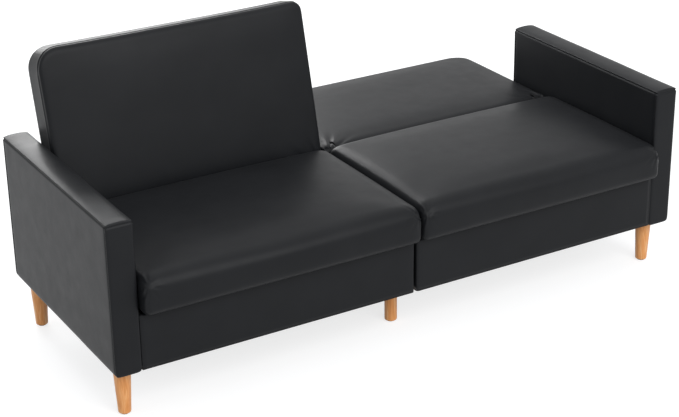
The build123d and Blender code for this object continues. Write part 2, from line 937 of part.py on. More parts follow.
def centre_leg(y):
    """Straight round leg under the plate between the base boxes."""
    top = base_low - leg_plate_thickness
    leg = rod((0, y, glide_height), (0, 0, 1), centre_leg_radius, top - glide_height)
    rim = leg.edges().filter_by(GeomType.CIRCLE).sort_by(Axis.Z)[0]
    return fillet(rim, leg_foot_round) - leg_bolt_hole(0, y, top)


def leg_bolt_hole(x, y, top):
    """Threaded hole down into the top of a leg."""
    return rod((x, y, top - bolt_grip - fit), (0, 0, 1), bolt_radius + bolt_clearance, bolt_grip + 2 * fit)


def centre_leg_places():
    """Y of the front and rear centre legs."""
    return [arm_front + centre_leg_front, arm_front + centre_leg_rear]


def make_leg_bolts():
    """Hanger bolts between the legs and what carries them."""
    bolts = []
    for x, y in corner_leg_places():
        low = arm_low - bolt_grip
        bolt = rod((x, y, low), (0, 0, 1), bolt_radius, 2 * bolt_grip + arm_padding)
        bolts += [bolt, mirror_left(bolt)]
    for y in centre_leg_places():
        low = base_low - leg_plate_thickness - bolt_grip
        bolts.append(rod((0, y, low), (0, 0, 1), bolt_radius, bolt_grip + 2 * leg_plate_thickness))
    return group(bolts)


def make_glides():
    """Plastic glides under the six legs."""
    glides = []
    for x, y in corner_leg_places():
        glide = rod((x, y, 0), (0, 0, 1), glide_radius, glide_height)
        glides += [glide, mirror_left(glide)]
    for y in centre_leg_places():
        glides.append(rod((0, y, 0), (0, 0, 1), glide_radius, glide_height))
    return group(glides)


def make_leg_plates():
    """Steel plates across both base boxes that carry the centre legs."""
    x = (-leg_plate_width / 2, leg_plate_width / 2)
    z = (base_low - leg_plate_thickness, base_low)
    plates = []
    for y in centre_leg_places():
        plate = block(x, (y - leg_plate_length / 2, y + leg_plate_length / 2), z)
        plates.append(plate - rod((0, y, z[0]), (0, 0, 1), bolt_radius + bolt_clearance, leg_plate_thickness))
    return group(plates)


def bolt(start, direction, length):
    """Cap-head bolt: start is under its head."""
    back = Vector(*direction) * -bolt_head
    head = rod(Vector(*start) + back, direction, bolt_head_radius, bolt_head)
    return head + rod(start, direction, bolt_radius, length)


def make_arm_bolts():
    """Bolts from inside the base boxes into the arms."""
    length = board + fit + arm_padding + arm_panel + bolt_grip
    bolts = [bolt((base_outer - board, y, z), (1, 0, 0), length) for y, z in arm_bolt_places()]
    return group(bolts + [mirror_left(solid) for solid in bolts])


def make_seat_bolts():
    """Bolts up through the bearers into the seat frames."""
    length = bearer_height + cover + fit + bolt_grip
    low = seat_low - bearer_height
    bolts = [bolt((x, y, low), (0, 0, 1), length) for x, y in seat_bolt_places()]
    return group(bolts + [mirror_left(solid) for solid in bolts])


def make_centre_bolts():
    """Bolts that draw the two base boxes together, with a nut on each."""
    reach = base_inner + base_cover + board
    bolts = []
    for y, z in centre_bolt_places():
        solid = bolt((-reach, y, z), (1, 0, 0), 2 * reach + bolt_head)
        bolts.append(solid + cross_rod(y, z, bolt_head_radius, reach, reach + bolt_head))
    return group(bolts)


def make_centre_spacers():
    """Sleeves that keep the gap between the two base boxes."""
    radius = bolt_radius + bolt_clearance
    sleeves = []
    for y, z in centre_bolt_places():
        sleeve = cross_rod(y, z, spacer_radius, -base_inner, base_inner)
        sleeves.append(sleeve - cross_rod(y, z, radius, -base_inner, base_inner))
    return group(sleeves)


# All nodes

fixed_pieces = {
    "arm_cover": make_arm_cover(),
    "arm_frame": make_arm_frame(),
    "base_cover": make_base_cover(),
    "base_frame": make_base_frame(),
    "seat_cover": make_seat_cover(),
    "seat_foam": make_seat_foam(),
    "seat_frame": make_seat_frame(),
    "seat_springs": make_springs(),
}
back_pieces = {
    "back_cover": make_back_cover(),
    "back_foam": make_back_foam(),
    "back_frame": make_back_frame(),
    "back_webbing": make_webbing(),
    "back_hinge_screws": make_back_screws(),
}
seat_arm = make_hinge_seat_arm()
back_arm = make_hinge_back_arm()
pawl = make_hinge_pawl()
pin = make_hinge_pin()
fixed_pieces["outer_hinge_seat_arm"] = seat_arm
fixed_pieces["inner_hinge_seat_arm"] = swap_ends(seat_arm)
fixed_pieces["outer_hinge_pin"] = pin
fixed_pieces["inner_hinge_pin"] = swap_ends(pin)
back_pieces["outer_hinge_back_arm"] = back_arm
back_pieces["inner_hinge_back_arm"] = swap_ends(back_arm)
back_pieces["outer_hinge_pawl"] = pawl
back_pieces["inner_hinge_pawl"] = swap_ends(pawl)

nodes = {}
for name, shape in fixed_pieces.items():
    nodes["right_" + name] = shape
    nodes["left_" + name] = mirror_left(shape)
for name, shape in back_pieces.items():
    nodes["right_" + name] = shape
    nodes["left_" + name] = stand_up(mirror_left(shape))

corner_places = corner_leg_places()
for place, (x, y) in zip(("front", "rear"), corner_places):
    nodes[place + "_right_leg"] = corner_leg(x, y)
    nodes[place + "_left_leg"] = corner_leg(-x, y)
for place, y in zip(("front", "rear"), centre_leg_places()):
    nodes[place + "_centre_leg"] = centre_leg(y)

dust_cloth = make_dust_cover()
clips = make_spring_clips()
seat_screws = make_seat_screws()
nodes["dust_covers"] = group([dust_cloth, mirror_left(dust_cloth)])
nodes["seat_spring_clips"] = group(clips + [mirror_left(clip) for clip in clips])
nodes["seat_hinge_screws"] = group(seat_screws + [mirror_left(solid) for solid in seat_screws])
nodes["leg_bolts"] = make_leg_bolts()
nodes["leg_glides"] = make_glides()
nodes["centre_leg_plates"] = make_leg_plates()
nodes["arm_bolts"] = make_arm_bolts()
nodes["seat_bolts"] = make_seat_bolts()
nodes["centre_bolts"] = make_centre_bolts()
nodes["centre_spacers"] = make_centre_spacers()

os.makedirs("parts", exist_ok=True)
for name, shape in nodes.items():
    export_step(shape, os.path.join("parts", name + ".step"))

spring_pitch = (spring_ends()[1] - spring_ends()[0]) / (spring_rows - 1)
print(len(nodes), "nodes")
print("hinge line at y", hinge_y, "z", hinge_z)
print("least gap between the rows of a spring", round(spring_pitch - spring_wire, 2))
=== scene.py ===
import json
import math
import bmesh
import bpy
import numpy as np
from mathutils import Matrix, Vector, noise


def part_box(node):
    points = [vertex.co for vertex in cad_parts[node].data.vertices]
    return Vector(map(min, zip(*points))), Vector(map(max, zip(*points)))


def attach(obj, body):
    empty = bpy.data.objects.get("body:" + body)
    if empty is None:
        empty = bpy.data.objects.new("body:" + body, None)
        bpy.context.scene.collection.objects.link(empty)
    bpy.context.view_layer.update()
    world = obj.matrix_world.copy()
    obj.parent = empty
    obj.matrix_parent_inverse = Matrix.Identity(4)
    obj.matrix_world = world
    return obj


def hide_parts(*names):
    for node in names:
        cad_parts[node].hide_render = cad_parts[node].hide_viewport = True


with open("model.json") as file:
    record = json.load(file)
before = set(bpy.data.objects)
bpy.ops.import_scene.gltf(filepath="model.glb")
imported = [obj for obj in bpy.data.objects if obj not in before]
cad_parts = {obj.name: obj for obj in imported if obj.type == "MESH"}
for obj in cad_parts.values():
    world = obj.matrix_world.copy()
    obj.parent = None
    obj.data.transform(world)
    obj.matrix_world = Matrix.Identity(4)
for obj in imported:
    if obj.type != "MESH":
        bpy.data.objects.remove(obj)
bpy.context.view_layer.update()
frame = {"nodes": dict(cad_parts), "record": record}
scene = bpy.context.scene
scene.view_settings.view_transform = "Standard"
print("frame loaded", len(frame["nodes"]), "nodes")


def linear(hexColour):
    channels = [int(hexColour[i:i + 2], 16) / 255 for i in (1, 3, 5)]
    return [c / 12.92 if c <= 0.04045 else ((c + 0.055) / 1.055) ** 2.4 for c in channels] + [1]


def addNode(tree, kind, settings=None, **links):
    node = tree.nodes.new(kind)
    for key, value in (settings or {}).items():
        if key == "stops":   # a colour ramp's places and colours
            band = node.color_ramp.elements
            while len(band) < len(value):
                band.new(0.5)
            for element, (spot, colour) in zip(band, value):
                element.position, element.color = spot, linear(colour)
        else:
            setattr(node, key, value)
    for key, value in links.items():
        numbered = key[0] == "i" and key[1:].isdigit()   # i0, i1 and so on are inputs by number
        socket = node.inputs[int(key[1:]) if numbered else key.replace("_", " ")]
        if isinstance(value, bpy.types.NodeSocket):
            tree.links.new(value, socket)
        else:
            socket.default_value = value
    return node


def startMaterial(name):
    made = bpy.data.materials.new(name)
    made.use_nodes = True
    tree = made.node_tree
    tree.nodes.clear()
    shader = addNode(tree, "ShaderNodeBsdfPrincipled")
    output = addNode(tree, "ShaderNodeOutputMaterial")
    tree.links.new(shader.outputs[0], output.inputs[0])
    place = addNode(tree, "ShaderNodeTexCoord").outputs["Object"]
    return made, tree, shader, place


# Faux leather: PU film pressed with a fine pebble over a knit. It is near black, and a soft sheen shows its form.
# Its real pebble is about 1 mm, too fine to show, so it is drawn three times as coarse.
leatherLook = dict(dark="#191a1c", pale="#1d1e20", roughLow=0.39, roughHigh=0.44, specular=0.13,
                   pebble=3.0, fleck=1.5, slack=70, wear=45, cloud=200)   # the last five in mm


def makeFauxLeather(name, look):
    made, tree, shader, place = startMaterial(name)
    cloud = addNode(tree, "ShaderNodeTexNoise", None, Vector=place, Scale=1000 / look["cloud"],
                    Detail=4.0, Roughness=0.6)
    shade = addNode(tree, "ShaderNodeValToRGB", {"stops": [(0.35, look["dark"]), (0.68, look["pale"])]},
                    Fac=cloud.outputs["Fac"])
    tree.links.new(shade.outputs["Color"], shader.inputs["Base Color"])
    pebble = addNode(tree, "ShaderNodeTexVoronoi", {"feature": "SMOOTH_F1"}, Vector=place,
                     Scale=1000 / look["pebble"], Smoothness=0.6)
    fine = addNode(tree, "ShaderNodeTexNoise", None, Vector=place, Scale=1000 / look["fleck"], Detail=2.0)
    grain = addNode(tree, "ShaderNodeMath", {"operation": "MULTIPLY_ADD"}, i0=fine.outputs["Fac"], i1=0.35,
                    i2=pebble.outputs["Distance"])
    bump = addNode(tree, "ShaderNodeBump", None, Strength=0.22, Distance=0.0003, Height=grain.outputs[0])
    slack = addNode(tree, "ShaderNodeTexNoise", None, Vector=place, Scale=1000 / look["slack"], Detail=2.0)
    slackBump = addNode(tree, "ShaderNodeBump", None, Strength=0.12, Distance=0.004, Height=slack.outputs["Fac"],
                        Normal=bump.outputs[0])
    tree.links.new(slackBump.outputs[0], shader.inputs["Normal"])
    wear = addNode(tree, "ShaderNodeTexNoise", None, Vector=place, Scale=1000 / look["wear"], Detail=5.0)
    rough = addNode(tree, "ShaderNodeMapRange", None, i0=wear.outputs["Fac"], i1=0.3, i2=0.7,
                    i3=look["roughLow"], i4=look["roughHigh"])
    tree.links.new(rough.outputs[0], shader.inputs["Roughness"])
    shader.inputs["IOR"].default_value = 1.5
    shader.inputs["Specular IOR Level"].default_value = look["specular"]
    return made


# Rubberwood turned and stained honey, under satin lacquer: straight fine grain down the leg, warm orange.
def makeLegWood():
    made, tree, shader, place = startMaterial("honeyRubberwood")
    stretch = addNode(tree, "ShaderNodeMapping", None, Vector=place)
    stretch.inputs["Scale"].default_value = (1, 1, 0.06)
    rings = addNode(tree, "ShaderNodeTexNoise", None, Vector=stretch.outputs[0], Scale=1000 / 6,
                    Detail=5.0, Distortion=0.6)
    pores = addNode(tree, "ShaderNodeTexNoise", None, Vector=stretch.outputs[0], Scale=1000 / 2.5,
                    Detail=2.0)   # pores are drawn coarse, to show
    both = addNode(tree, "ShaderNodeMath", {"operation": "MULTIPLY_ADD"}, i0=pores.outputs["Fac"], i1=0.35,
                   i2=rings.outputs["Fac"])
    shade = addNode(tree, "ShaderNodeValToRGB", {"stops": [(0.45, "#da8c49"), (0.7, "#f2a662"), (0.9, "#fcc68c")]},
                    Fac=both.outputs[0])
    tree.links.new(shade.outputs["Color"], shader.inputs["Base Color"])
    bump = addNode(tree, "ShaderNodeBump", None, Strength=0.1, Distance=0.0003, Height=both.outputs[0])
    tree.links.new(bump.outputs[0], shader.inputs["Normal"])
    shader.inputs["Roughness"].default_value = 0.4
    return made


# Sawn pine and hardboard inside: pale, dry, with broad grain.
# The boards of the base boxes are stained black, because they can be seen behind the seats.
def makeSawnPine(name, dark, pale):
    made, tree, shader, place = startMaterial(name)
    stretch = addNode(tree, "ShaderNodeMapping", None, Vector=place)
    stretch.inputs["Scale"].default_value = (0.08, 1, 1)
    rings = addNode(tree, "ShaderNodeTexNoise", None, Vector=stretch.outputs[0], Scale=1000 / 14,
                    Detail=4.0, Distortion=0.8)
    shade = addNode(tree, "ShaderNodeValToRGB", {"stops": [(0.35, dark), (0.65, pale)]},
                    Fac=rings.outputs["Fac"])
    tree.links.new(shade.outputs["Color"], shader.inputs["Base Color"])
    bump = addNode(tree, "ShaderNodeBump", None, Strength=0.2, Distance=0.0006, Height=rings.outputs["Fac"])
    tree.links.new(bump.outputs[0], shader.inputs["Normal"])
    shader.inputs["Roughness"].default_value = 0.75
    return made


# Cut polyurethane foam: cream, open cells, no gloss. The cells are drawn coarse, to show.
def makeFoam():
    made, tree, shader, place = startMaterial("cutFoam")
    cells = addNode(tree, "ShaderNodeTexVoronoi", None, Vector=place, Scale=1000 / 2.5)
    shade = addNode(tree, "ShaderNodeValToRGB", {"stops": [(0.1, "#c9b98f"), (0.6, "#e6dab8")]},
                    Fac=cells.outputs["Distance"])
    tree.links.new(shade.outputs["Color"], shader.inputs["Base Color"])
    bump = addNode(tree, "ShaderNodeBump", None, Strength=0.4, Distance=0.001, Height=cells.outputs["Distance"])
    tree.links.new(bump.outputs[0], shader.inputs["Normal"])
    shader.inputs["Roughness"].default_value = 0.95
    return made


# Woven goods: elastic webbing and the spun dust cloth. Threads or fibres break up a matt dark face.
# Their threads are drawn coarser than real ones, to show.
def makeCloth(name, dark, pale, thread, rough):
    made, tree, shader, place = startMaterial(name)
    scale = 1000 / thread / 6.28   # a wave texture repeats every 2 pi
    across = addNode(tree, "ShaderNodeTexWave", {"bands_direction": "X"}, Vector=place, Scale=scale, Distortion=1.0)
    along = addNode(tree, "ShaderNodeTexWave", {"bands_direction": "Y"}, Vector=place, Scale=scale, Distortion=1.0)
    weave = addNode(tree, "ShaderNodeMath", {"operation": "MULTIPLY"}, i0=across.outputs["Fac"],
                    i1=along.outputs["Fac"])
    shade = addNode(tree, "ShaderNodeValToRGB", {"stops": [(0.1, dark), (0.8, pale)]},
                    Fac=weave.outputs[0])
    tree.links.new(shade.outputs["Color"], shader.inputs["Base Color"])
    bump = addNode(tree, "ShaderNodeBump", None, Strength=0.35, Distance=0.0004, Height=weave.outputs[0])
    tree.links.new(bump.outputs[0], shader.inputs["Normal"])
    shader.inputs["Roughness"].default_value = rough
    return made


# Moulded polypropylene: even colour, faint spark texture, drawn coarse.
def makePlastic(name, dark, pale):
    made, tree, shader, place = startMaterial(name)
    spark = addNode(tree, "ShaderNodeTexNoise", None, Vector=place, Scale=1000 / 1.2, Detail=3.0)
    shade = addNode(tree, "ShaderNodeValToRGB", {"stops": [(0.3, dark), (0.7, pale)]},
                    Fac=spark.outputs["Fac"])
    tree.links.new(shade.outputs["Color"], shader.inputs["Base Color"])
    bump = addNode(tree, "ShaderNodeBump", None, Strength=0.15, Distance=0.0002, Height=spark.outputs["Fac"])
    tree.links.new(bump.outputs[0], shader.inputs["Normal"])
    shader.inputs["Roughness"].default_value = 0.55
    return made


# Steel: drawn spring wire, zinc bolts, and pressed hinge arms under black paint.
def makeSteel(name, dark, pale, metallic, roughLow, roughHigh, scratch):
    made, tree, shader, place = startMaterial(name)
    mottle = addNode(tree, "ShaderNodeTexNoise", None, Vector=place, Scale=1000 / scratch, Detail=4.0)
    shade = addNode(tree, "ShaderNodeValToRGB", {"stops": [(0.3, dark), (0.7, pale)]},
                    Fac=mottle.outputs["Fac"])
    tree.links.new(shade.outputs["Color"], shader.inputs["Base Color"])
    rough = addNode(tree, "ShaderNodeMapRange", None, i0=mottle.outputs["Fac"], i1=0.3, i2=0.7,
                    i3=roughLow, i4=roughHigh)
    tree.links.new(rough.outputs[0], shader.inputs["Roughness"])
    shader.inputs["Metallic"].default_value = metallic
    return made


leather = makeFauxLeather("blackFauxLeather", leatherLook)
legWood = makeLegWood()
sawnPine = makeSawnPine("sawnPine", "#b9925f", "#d9bb89")
stainedPine = makeSawnPine("blackStainedPine", "#191716", "#2a2725")
cutFoam = makeFoam()
webbing = makeCloth("elasticWebbing", "#1a1a1c", "#343437", 1.6, 0.8)
dustCloth = makeCloth("spunDustCloth", "#111112", "#242426", 2.2, 0.95)
glidePlastic = makePlastic("blackGlidePlastic", "#19191a", "#242425")
clipPlastic = makePlastic("whiteClipPlastic", "#c9c8c3", "#dddcd6")
springSteel = makeSteel("drawnSpringWire", "#4b4c4e", "#6a6c6f", 1.0, 0.3, 0.45, 3.0)
boltSteel = makeSteel("zincBolts", "#8f9294", "#b4b7b9", 1.0, 0.28, 0.42, 4.0)
hingePaint = makeSteel("blackHingePaint", "#101011", "#1b1b1d", 0.0, 0.35, 0.5, 6.0)


def nodeMaterial(name):
    if name.endswith("_cover"):
        return leather
    if name.endswith("_foam"):
        return cutFoam
    if name.endswith("_leg"):
        return legWood
    if name.endswith("_base_frame"):
        return stainedPine
    if name.endswith("_frame"):
        return sawnPine
    if name.endswith("_webbing"):
        return webbing
    if name == "dust_covers":
        return dustCloth
    if name == "leg_glides":
        return glidePlastic
    if name == "seat_spring_clips":
        return clipPlastic
    if name.endswith("_springs"):
        return springSteel
    if "_hinge_" in name and "screws" not in name or name == "centre_leg_plates":
        return hingePaint
    return boltSteel


for name, node in frame["nodes"].items():
    node.data.materials.clear()
    node.data.materials.append(nodeMaterial(name))
print("materials set")


# A cushion is lofted from rounded sections, so its rows run with its seams.
def sidePoints(start, end, outward, startRadius, endRadius, shares):
    start, end, outward = (np.array(p, float) for p in (start, end, outward))
    length = np.linalg.norm(end - start)
    along = (end - start) / length
    eighth = math.pi / 4
    total = eighth * (startRadius + endRadius) + length - startRadius - endRadius
    points = []
    for share in shares:
        gone = share * total
        if gone < eighth * startRadius:
            turn = eighth - gone / startRadius
            centre = start + (along - outward) * startRadius
            points.append(centre + startRadius * (outward * math.cos(turn) - along * math.sin(turn)))
        elif gone > total - eighth * endRadius:
            turn = eighth - (total - gone) / endRadius
            centre = end - (along + outward) * endRadius
            points.append(centre + endRadius * (outward * math.cos(turn) + along * math.sin(turn)))
        else:
            points.append(start + along * (startRadius + gone - eighth * startRadius))
    return points


def sectionRing(low, high, radii, inset, topShares, sideShares):
    u0, v0, u1, v1 = low[0] + inset, low[1] + inset, high[0] - inset, high[1] - inset
    frontTop, rearTop, rearLow, frontLow = (max(r - inset, 0.0015) for r in radii)
    ring = sidePoints((u0, v1), (u1, v1), (0, 1), frontTop, rearTop, topShares)[:-1]
    ring += sidePoints((u1, v1), (u1, v0), (1, 0), rearTop, rearLow, sideShares)[:-1]
    topBack, sideBack = ([1 - t for t in reversed(shares)] for shares in (topShares, sideShares))
    ring += sidePoints((u1, v0), (u0, v0), (0, -1), rearLow, frontLow, topBack)[:-1]
    ring += sidePoints((u0, v0), (u0, v1), (-1, 0), frontLow, frontTop, sideBack)[:-1]
    return ring


def spread(length, step, marks=()):
    spots = list(np.linspace(0, length, max(int(round(length / step)), 2) + 1))
    for mark in marks:   # close rows where a seam runs
        spots = [t for t in spots if abs(t - mark) > 0.007 or t in (0, length)]
        spots += [mark + d for d in (-0.005, -0.002, 0, 0.002, 0.005)]
    return sorted(t / length for t in spots)


def endRows(radius, turns):
    return [(radius * (1 - math.sin(t)), radius * (1 - math.cos(t))) for t in np.radians(turns)]


def loftCushion(name, place, stations, rings, topCount, sideCount):
    size = 2 * (topCount + sideCount)
    points = [place(s, u, v) for s, ring in zip(stations, rings) for u, v in ring]
    faces = []
    for k in range(len(stations) - 1):
        for r in range(size):
            after = (r + 1) % size
            faces.append((k * size + r, k * size + after, (k + 1) * size + after, (k + 1) * size + r))
    for k in (0, len(stations) - 1):   # both ends, filled between their four sides
        flat = np.array(rings[k])

        def rim(i, j):
            if j == 0:
                return i
            if i == topCount:
                return topCount + j
            if j == sideCount:
                return topCount + sideCount + topCount - i
            return (2 * topCount + sideCount + sideCount - j) % size
        made = {}
        for i in range(topCount + 1):
            for j in range(sideCount + 1):
                if i in (0, topCount) or j in (0, sideCount):
                    made[i, j] = k * size + rim(i, j)
                    continue
                a, b = i / topCount, j / sideCount
                spot = (1 - b) * flat[rim(i, 0)] + b * flat[rim(i, sideCount)]
                spot += (1 - a) * flat[rim(0, j)] + a * flat[rim(topCount, j)]
                spot -= (1 - a) * (1 - b) * flat[rim(0, 0)] + a * (1 - b) * flat[rim(topCount, 0)]
                spot -= (1 - a) * b * flat[rim(0, sideCount)] + a * b * flat[rim(topCount, sideCount)]
                made[i, j] = len(points)
                points.append(place(stations[k], *spot))
        for i in range(topCount):
            for j in range(sideCount):
                faces.append((made[i, j], made[i + 1, j], made[i + 1, j + 1], made[i, j + 1]))
    mesh = bpy.data.meshes.new(name)
    mesh.from_pydata([tuple(p) for p in points], [], faces)
    tidyNormals(mesh)
    return mesh


def tidyNormals(mesh):
    work = bmesh.new()
    work.from_mesh(mesh)
    bmesh.ops.recalc_face_normals(work, faces=work.faces)
    work.to_mesh(mesh)
    work.free()
    mesh.update()


def readPoints(mesh):
    flat = np.empty(len(mesh.vertices) * 3)
    mesh.vertices.foreach_get("co", flat)
    return flat.reshape(-1, 3)


def readNormals(mesh):
    flat = np.empty(len(mesh.vertices) * 3)
    mesh.vertex_normals.foreach_get("vector", flat)
    return flat.reshape(-1, 3)


def writePoints(mesh, points):
    mesh.vertices.foreach_set("co", np.asarray(points, float).ravel())
    mesh.update()


def ease(t):
    t = np.clip(t, 0, 1)
    return t * t * (3 - 2 * t)


def dome(t, power):
    return np.maximum(1 - np.abs(2 * np.clip(t, 0, 1) - 1) ** power, 0)


def boxShares(points, low, sizes):
    return ((points - low) / np.array(sizes)).T


def seamDip(distance, depth):
    groove = np.exp(-(distance / 0.0022) ** 2)
    swell = np.exp(-((np.abs(distance) - 0.0055) / 0.003) ** 2)   # the skin stands up beside the stitches
    return -depth * groove + 0.25 * depth * swell


# Padding presses the skins of the seats and backrests outward.
cushionSwell = dict(pressure=2.0, stiffness=80, bending=20.0, slack=0.0, cap=0.005, frames=20, calm=24)


def inflate(mesh, held, look):
    body = bpy.data.objects.new("inflating", mesh)
    scene.collection.objects.link(body)
    before = readPoints(mesh)
    pins = body.vertex_groups.new(name="held")
    pins.add([int(i) for i in np.nonzero(held)[0]], 1.0, "REPLACE")
    cloth = body.modifiers.new("cloth", "CLOTH")
    rules = cloth.settings
    rules.quality = 5
    rules.mass = 0.3
    rules.vertex_group_mass = "held"
    rules.tension_stiffness = rules.compression_stiffness = look["stiffness"]
    rules.shear_stiffness = look["stiffness"] / 2
    rules.bending_stiffness = look["bending"]
    rules.shrink_min = -look["slack"]
    rules.use_pressure = True
    rules.uniform_pressure_force = look["pressure"]
    rules.effector_weights.gravity = 0
    cloth.collision_settings.use_collision = False
    cloth.point_cache.frame_end = look["frames"]
    for step in range(1, look["frames"] + 1):
        scene.frame_set(step)
    shown = body.evaluated_get(bpy.context.evaluated_depsgraph_get())
    after = readPoints(shown.data)
    scene.frame_set(1)
    bpy.data.objects.remove(body)
    move = after - before
    far = np.linalg.norm(move, axis=1, keepdims=True)
    capped = move * np.minimum(1, look["cap"] / np.maximum(far, 1e-9))
    ends = np.empty(len(mesh.edges) * 2, int)
    mesh.edges.foreach_get("vertices", ends)
    one, two = ends.reshape(-1, 2).T
    share = np.bincount(ends, minlength=len(before))[:, None]
    for again in range(look["calm"]):   # the skin is taut, so short ripples are spread out
        around = np.zeros_like(capped)
        np.add.at(around, one, capped[two])
        np.add.at(around, two, capped[one])
        capped = np.where(held[:, None], 0, 0.5 * capped + 0.5 * around / share)
    print("inflated", mesh.name, "most", round(float(far.max()) * 1000, 1), "mm")
    writePoints(mesh, before + capped)


def gather(points, normals, spot, first, second, look, seed):
    away = points - np.array(spot)
    reach = np.linalg.norm(away, axis=1)
    turn = np.arctan2(away @ np.array(second, float), away @ np.array(first, float))
    folds = np.cos(look["folds"] * turn + seed) * 0.6
    folds += np.cos(look["folds"] * 1.7 * turn + seed * 2.3) * 0.4   # uneven, as hand-pulled pleats are
    fade = ease(reach / 0.012) * np.exp(-(reach / look["reach"]) ** 2)
    points += normals * (folds * fade * look["depth"])[:, None]


def addPiece(name, mesh, body, nodes, subdivide=True):
    piece = bpy.data.objects.new(name, mesh)
    scene.collection.objects.link(piece)
    mesh.materials.append(leather)
    mesh.polygons.foreach_set("use_smooth", [True] * len(mesh.polygons))
    if subdivide:
        rounder = piece.modifiers.new("rounder", "SUBSURF")
        rounder.levels = rounder.render_levels = 1
    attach(piece, body)
    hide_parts(*nodes)
    return piece


def baked(mesh, kind, **settings):
    body = bpy.data.objects.new("baking", mesh)
    scene.collection.objects.link(body)
    modifier = body.modifiers.new("baking", kind)
    for key, value in settings.items():
        setattr(modifier, key, value)
    made = bpy.data.meshes.new_from_object(body.evaluated_get(bpy.context.evaluated_depsgraph_get()))
    name = mesh.name
    bpy.data.objects.remove(body)
    bpy.data.meshes.remove(mesh)
    made.name = name
    return made


def mirrored(mesh, name):
    twin = mesh.copy()
    twin.name = name
    points = readPoints(twin)
    points[:, 0] *= -1
    writePoints(twin, points)
    tidyNormals(twin)
    return twin


# Seats: waterfall front, crowned top, rounded shoulders, gathers at the front corners.
seatLook = dict(step=0.0105, frontTop=0.042, rearTop=0.022, rearLow=0.02, frontLow=0.022, end=0.014,
                shoulder=0.046, drop=0.022, crown=0.011, sideFall=0.004, pull=0.006, swellIn=0.0012,
                topRoom=0.009, frontSwell=0.002)
seatGather = dict(folds=11, reach=0.03, depth=0.0034, side=0.012, back=0.016, below=0.045)


def buildSeat(look):
    low, high = (np.array(c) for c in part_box("right_seat_cover"))
    low[0] -= look["swellIn"]   # the two seats press close
    topZ = high[2] - look["topRoom"]   # the crown takes up the rest
    length, depth, rise = high[0] - low[0], high[1] - low[1], topZ - low[2]
    topShares, sideShares = spread(depth, look["step"]), spread(rise, look["step"])
    radii = [look[k] for k in ("frontTop", "rearTop", "rearLow", "frontLow")]
    ends = endRows(look["end"], (90, 60, 35, 12))
    inner = list(np.linspace(look["end"], length - look["end"], int(length / look["step"])))
    runs = ends + [(d, 0) for d in inner] + [(length - d, i) for d, i in reversed(ends)]
    rings = []
    for run, inset in runs:
        toEnd = min(run, length - run)
        sink = 1 - math.sqrt(max(0, 1 - max(0, 1 - toEnd / look["shoulder"]) ** 2))
        fall = look["sideFall"] * abs(2 * run / length - 1) ** 2 + look["drop"] * sink
        front = look["pull"] * sink
        rings.append(sectionRing((low[1] + front, low[2]), (high[1], topZ - fall), radii, inset,
                                 topShares, sideShares))
    mesh = loftCushion("rightSeatCushion", lambda s, u, v: (low[0] + s, u, v), [run for run, inset in runs], rings,
                       len(topShares) - 1, len(sideShares) - 1)
    points = readPoints(mesh)
    across, along, up = boxShares(points, low, (length, depth, rise))
    points[:, 2] += look["crown"] * dome(along, 2.0) * dome(across, 6.0) * ease((up - 0.45) / 0.5)
    points[:, 1] -= look["frontSwell"] * dome(across, 4.0) * ease((0.2 - along) / 0.2) * dome(up, 2)
    writePoints(mesh, points)
    normals = readNormals(mesh)
    held = (normals[:, 2] < -0.35) | (np.abs(normals[:, 0]) > 0.8) | (normals[:, 1] > 0.7)
    inflate(mesh, held, cushionSwell)
    return mesh


def dressSeat(mesh, side, seeds):
    points, normals = readPoints(mesh), readNormals(mesh)
    front, top = points[:, 1].min(), points[:, 2].max()
    for x, inward, seed in zip((points[:, 0].min(), points[:, 0].max()), (1, -1), seeds):
        corner = (x + inward * seatGather["side"], front + seatGather["back"], top - seatGather["below"])
        gather(points, normals, corner, (inward, 0, 0), (0, 0.5, 0.8), seatGather, seed)
    writePoints(mesh, points)
    addPiece(side + "SeatCushion", mesh, "sofa_base", [side + "_seat_cover", side + "_seat_foam"], False)


seatMesh = baked(buildSeat(seatLook), "SUBSURF", levels=1)
leftSeatMesh = mirrored(seatMesh, "leftSeatCushion")
dressSeat(seatMesh, "right", (0.4, 2.2))
dressSeat(leftSeatMesh, "left", (1.3, 0.2))
print("seats made")


# Backrests: a crowned front panel sewn to a boxing band, with a larger outer top corner and a rounded heel.
backLook = dict(step=0.011, heel=0.045, rearHeel=0.03, edge=0.012, end=0.012, outerCorner=0.065, innerCorner=0.028,
                lowCorner=0.02, crown=0.009, draw=0.003, seamDrop=0.013, rearSeam=0.013, seamDepth=0.0034, topRoom=0.017)
backGather = dict(folds=13, reach=0.07, depth=0.006, outer=0.003, inner=0.012, back=0.008, below=0.034)
hingeSpot = Vector(frame["record"]["behaviour"]["joints"][0]["pos_m"])
foldAngle = 76   # the left backrest rests upright


def cornerCut(toEnd, radius):
    return radius - math.sqrt(max(0, radius ** 2 - max(0, radius - toEnd) ** 2))


